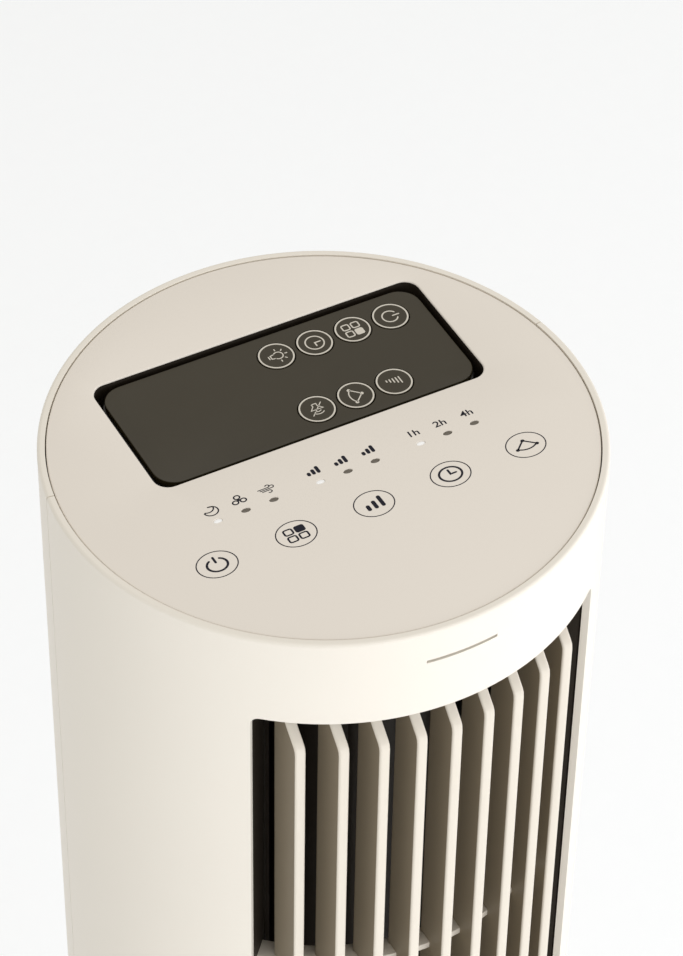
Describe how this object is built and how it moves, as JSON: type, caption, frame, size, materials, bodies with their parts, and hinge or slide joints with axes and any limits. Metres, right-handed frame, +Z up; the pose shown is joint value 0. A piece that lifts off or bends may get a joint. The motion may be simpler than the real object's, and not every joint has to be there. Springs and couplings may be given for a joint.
{
  "type": "tower fan",
  "caption": "Round free-standing tower fan with a louvred outlet, touch panel, lift-out remote in its top and an oscillating column on a disc base.",
  "frame": {"origin": "middle of the floor contact, under the base", "axes": "+Z up along the column; -Y out of the front louvres; +X to the right of a viewer who faces the louvres"},
  "size_m": [0.28, 0.28, 0.9],
  "materials": {
    "cream_plastic": "satin moulded cream",
    "panel_plastic": "fine matt moulded warm grey",
    "dark_gloss": "dark taupe with light printed rings",
    "black_plastic": "black moulded",
    "rubber": "dull",
    "steel": "plain",
    "bronze": "sintered bronze",
    "acetal": "smooth",
    "circuit_board": "solder mask",
    "light_guide": "clear to milky"
  },
  "bodies": {
    "base": {"base_shell": "cream_plastic", "base_plate": "cream_plastic", "ballast_ring": "steel", "foot_1": "rubber", "foot_2": "rubber", "foot_3": "rubber", "foot_4": "rubber", "base_screw_1": "steel", "base_screw_2": "steel", "base_screw_3": "steel", "base_screw_4": "steel", "hub_cap": "steel", "hub_screw_1": "steel", "hub_screw_2": "steel", "hub_screw_3": "steel", "cord_gland": "rubber", "slide_ring": "acetal", "fixed_gear": "acetal"},
    "column": {"turntable": "black_plastic", "stepper_motor": "steel", "front_shell": "cream_plastic", "rear_shell": "cream_plastic", "signal_lens": "black_plastic", "front_grille": "cream_plastic", "duct_floor": "black_plastic", "duct_cap": "black_plastic", "scroll_wall": "black_plastic", "tongue_wall": "black_plastic", "motor_can": "steel", "motor_mount": "rubber", "top_bearing": "bronze", "bearing_bush": "rubber", "top_panel": "panel_plastic", "light_guide_mode": "light_guide", "light_guide_speed": "light_guide", "light_guide_timer": "light_guide", "touch_board": "circuit_board", "power_board": "circuit_board"},
    "pinion": {"drive_pinion": "acetal"},
    "wheel": {"impeller": "black_plastic", "motor_shaft": "steel", "top_pin": "steel"},
    "remote": {"remote_back": "black_plastic", "remote_face": "dark_gloss", "remote_keypad": "rubber", "remote_board": "circuit_board", "battery_holder": "black_plastic", "coin_cell": "steel"},
    "key_light": {"remote_key_light": "dark_gloss"},
    "key_timer": {"remote_key_timer": "dark_gloss"},
    "key_mode": {"remote_key_mode": "dark_gloss"},
    "key_power": {"remote_key_power": "dark_gloss"},
    "key_mute": {"remote_key_mute": "dark_gloss"},
    "key_swing": {"remote_key_swing": "dark_gloss"},
    "key_speed": {"remote_key_speed": "dark_gloss"}
  },
  "joints": [
    {"name": "column_swing", "type": "hinge", "parent": "base", "child": "column", "pos_m": [0, 0, 0.034], "axis": [0, 0, 1], "range_deg": [-40, 40]},
    {"name": "pinion_spin", "type": "hinge", "parent": "column", "child": "pinion", "pos_m": [0, 0.0375, 0.0423], "axis": [0, 0, 1], "range_deg": [-160, 160]},
    {"name": "impeller_spin", "type": "hinge", "parent": "column", "child": "wheel", "pos_m": [0, 0.014, 0.55], "axis": [0, 0, 1], "continuous": true},
    {"name": "remote_lift", "type": "slide", "parent": "column", "child": "remote", "axis": [0, 0, 1], "range_m": [0, 0.06]},
    {"name": "key_light_press", "type": "slide", "parent": "remote", "child": "key_light", "axis": [0, 0, -1], "range_m": [0, 0.0004], "stiffness_N_per_m": 600},
    {"name": "key_timer_press", "type": "slide", "parent": "remote", "child": "key_timer", "axis": [0, 0, -1], "range_m": [0, 0.0004], "stiffness_N_per_m": 600},
    {"name": "key_mode_press", "type": "slide", "parent": "remote", "child": "key_mode", "axis": [0, 0, -1], "range_m": [0, 0.0004], "stiffness_N_per_m": 600},
    {"name": "key_power_press", "type": "slide", "parent": "remote", "child": "key_power", "axis": [0, 0, -1], "range_m": [0, 0.0004], "stiffness_N_per_m": 600},
    {"name": "key_mute_press", "type": "slide", "parent": "remote", "child": "key_mute", "axis": [0, 0, -1], "range_m": [0, 0.0004], "stiffness_N_per_m": 600},
    {"name": "key_swing_press", "type": "slide", "parent": "remote", "child": "key_swing", "axis": [0, 0, -1], "range_m": [0, 0.0004], "stiffness_N_per_m": 600},
    {"name": "key_speed_press", "type": "slide", "parent": "remote", "child": "key_speed", "axis": [0, 0, -1], "range_m": [0, 0.0004], "stiffness_N_per_m": 600}
  ],
  "couplings": [
    {"joint": "pinion_spin", "follows": "column_swing", "ratio": 4}
  ]
}
